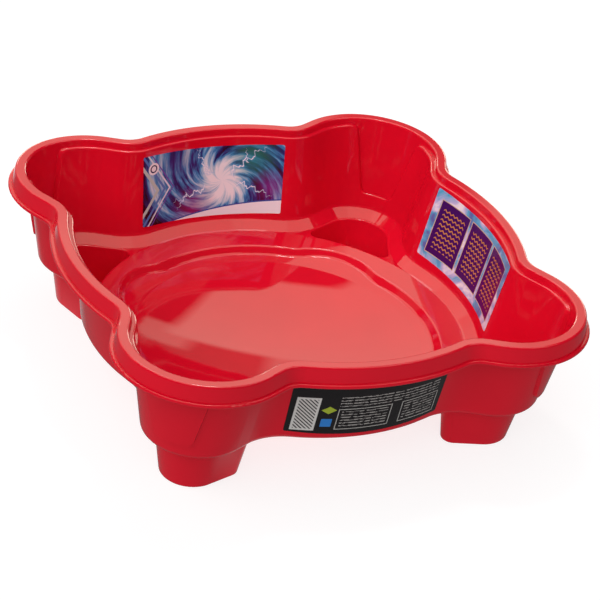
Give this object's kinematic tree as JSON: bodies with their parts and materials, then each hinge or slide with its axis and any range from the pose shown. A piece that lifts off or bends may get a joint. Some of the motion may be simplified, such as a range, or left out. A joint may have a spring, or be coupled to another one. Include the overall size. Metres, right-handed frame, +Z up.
{
  "type": "spinning top arena",
  "caption": "Shallow moulded battle arena for spinning tops: a rolled-rim tray with lobed corners, a sunken dish, corner pockets that form the feet, and printed wall labels.",
  "frame": {"origin": "on the ground under the middle of the tray", "axes": "+Z up; -Y out of the front wall, which carries the dark label outside; +X out of the right wall; the corner lobes lie on the diagonals"},
  "size_m": [0.3984, 0.3984, 0.123],
  "materials": {
    "tray_plastic": "glossy red moulding",
    "picture_label": "glossy printed film",
    "panel_label": "glossy printed film",
    "dark_label": "glossy printed film"
  },
  "bodies": {
    "root": {"arena_tray": "tray_plastic", "back_wall_label": "picture_label", "right_wall_label": "panel_label", "front_label": "dark_label"}
  },
  "joints": []
}
